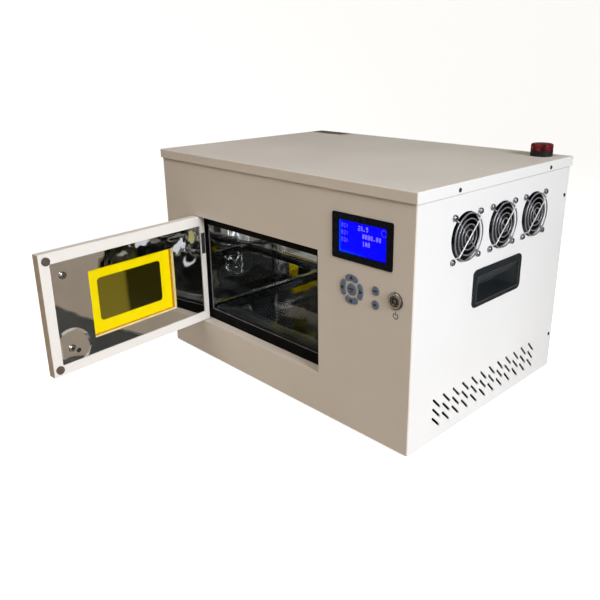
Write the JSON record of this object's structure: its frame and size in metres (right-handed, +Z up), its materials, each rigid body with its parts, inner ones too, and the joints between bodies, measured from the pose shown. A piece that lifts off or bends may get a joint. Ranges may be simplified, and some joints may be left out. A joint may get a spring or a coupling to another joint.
{
  "type": "light curing box",
  "caption": "Bench-top light curing box: sheet-steel cabinet with a hinged window door, polished chamber, display, keys, side fans and a beacon.",
  "frame": {"origin": "centre of the cabinet's footprint, on the surface that its feet stand on", "axes": "+X to the right seen from the front, +Y to the back, +Z up; the door opens towards -Y"},
  "size_m": [0.4757, 0.5787, 0.322],
  "materials": {
    "cabinet_paint": "satin",
    "cover_paint": "satin",
    "door_paint": "satin",
    "polished_steel": "polished",
    "bright_steel": "polished",
    "plain_steel": "plain",
    "black_screw": "blackened",
    "black_rubber": "matt",
    "black_plastic": "moulded",
    "grip_plastic": "moulded",
    "white_core": "sheet",
    "amber_acrylic": "clear tinted",
    "magnet_face": "dull",
    "aluminium_fins": "as extruded",
    "circuit_board": "lacquered",
    "lamp_glass": "clear",
    "lamp_dies": "gloss",
    "display_blue": "lit",
    "display_glass": "clear",
    "key_grey": "moulded",
    "button_dark": "dark",
    "red_lens": "tinted",
    "electronics_case": "plain",
    "tray_steel": "satin",
    "bush_plastic": "moulded"
  },
  "bodies": {
    "cabinet": {"base_pan": "plain_steel", "beacon_base": "black_plastic", "beacon_lamp": "lamp_dies", "beacon_lens": "red_lens", "carry_handle_left": "grip_plastic", "carry_handle_right": "grip_plastic", "chamber_face_frame": "polished_steel", "chamber_liner": "polished_steel", "chamber_supports": "plain_steel", "control_board": "circuit_board", "display_bezel": "black_plastic", "display_lens": "display_glass", "display_module": "display_blue", "door_gasket": "black_rubber", "fan_housings": "black_plastic", "fan_screws": "bright_steel", "finger_guards": "bright_steel", "front_panel": "cabinet_paint", "inlet_pins": "bright_steel", "lamp_driver": "electronics_case", "lamp_frame": "aluminium_fins", "led_board": "circuit_board", "led_emitters": "lamp_dies", "led_heatsink": "aluminium_fins", "pivot_bushes": "bush_plastic", "power_inlet": "black_plastic", "power_supply": "electronics_case", "power_switch_body": "black_plastic", "quartz_window": "lamp_glass", "rear_panel": "cabinet_paint", "rear_panel_screws": "black_screw", "rubber_feet": "black_rubber", "sample_tray": "tray_steel", "side_panel_left": "cabinet_paint", "side_panel_right": "cabinet_paint", "start_button_body": "bright_steel", "top_cover": "cover_paint", "top_cover_screws": "black_screw"},
    "door": {"door_core": "white_core", "door_edge_plate": "polished_steel", "door_handle": "bright_steel", "door_handle_screws": "bright_steel", "door_magnets": "magnet_face", "door_mirror_panel": "polished_steel", "door_pivot_pins": "plain_steel", "door_shell": "door_paint", "door_window": "amber_acrylic"},
    "key_up": {"key_up": "key_grey"},
    "key_down": {"key_down": "key_grey"},
    "key_left": {"key_left": "key_grey"},
    "key_right": {"key_right": "key_grey"},
    "key_enter": {"key_enter": "key_grey"},
    "key_upper": {"key_upper_round": "key_grey"},
    "key_lower": {"key_lower_round": "key_grey"},
    "start_plunger": {"start_button": "button_dark"},
    "rotor_front": {"fan_rotor_front": "black_plastic"},
    "rotor_middle": {"fan_rotor_middle": "black_plastic"},
    "rotor_rear": {"fan_rotor_rear": "black_plastic"},
    "rocker": {"power_rocker": "black_plastic"}
  },
  "joints": [
    {"name": "door_hinge", "type": "hinge", "parent": "cabinet", "child": "door", "pos_m": [-0.1588, -0.1595, 0.1376], "axis": [0, 0, -1], "range_deg": [-83.7, 16.3]},
    {"name": "key_up_press", "type": "slide", "parent": "cabinet", "child": "key_up", "axis": [0, 1, 0], "range_m": [0, 0.0008], "stiffness_N_per_m": 500},
    {"name": "key_down_press", "type": "slide", "parent": "cabinet", "child": "key_down", "axis": [0, 1, 0], "range_m": [0, 0.0008], "stiffness_N_per_m": 500},
    {"name": "key_left_press", "type": "slide", "parent": "cabinet", "child": "key_left", "axis": [0, 1, 0], "range_m": [0, 0.0008], "stiffness_N_per_m": 500},
    {"name": "key_right_press", "type": "slide", "parent": "cabinet", "child": "key_right", "axis": [0, 1, 0], "range_m": [0, 0.0008], "stiffness_N_per_m": 500},
    {"name": "key_enter_press", "type": "slide", "parent": "cabinet", "child": "key_enter", "axis": [0, 1, 0], "range_m": [0, 0.0008], "stiffness_N_per_m": 500},
    {"name": "key_upper_press", "type": "slide", "parent": "cabinet", "child": "key_upper", "axis": [0, 1, 0], "range_m": [0, 0.0008], "stiffness_N_per_m": 500},
    {"name": "key_lower_press", "type": "slide", "parent": "cabinet", "child": "key_lower", "axis": [0, 1, 0], "range_m": [0, 0.0008], "stiffness_N_per_m": 500},
    {"name": "start_button_press", "type": "slide", "parent": "cabinet", "child": "start_plunger", "axis": [0, 1, 0], "range_m": [0, 0.0015], "stiffness_N_per_m": 700},
    {"name": "fan_front_spin", "type": "hinge", "parent": "cabinet", "child": "rotor_front", "pos_m": [0.216, -0.0737, 0.243], "axis": [1, 0, 0], "continuous": true},
    {"name": "fan_middle_spin", "type": "hinge", "parent": "cabinet", "child": "rotor_middle", "pos_m": [0.216, 0.0017, 0.243], "axis": [1, 0, 0], "continuous": true},
    {"name": "fan_rear_spin", "type": "hinge", "parent": "cabinet", "child": "rotor_rear", "pos_m": [0.216, 0.0771, 0.243], "axis": [1, 0, 0], "continuous": true},
    {"name": "rocker_tilt", "type": "hinge", "parent": "cabinet", "child": "rocker", "pos_m": [0.105, 0.1645, 0.048], "axis": [-1, 0, 0], "range_deg": [0, 20]}
  ]
}
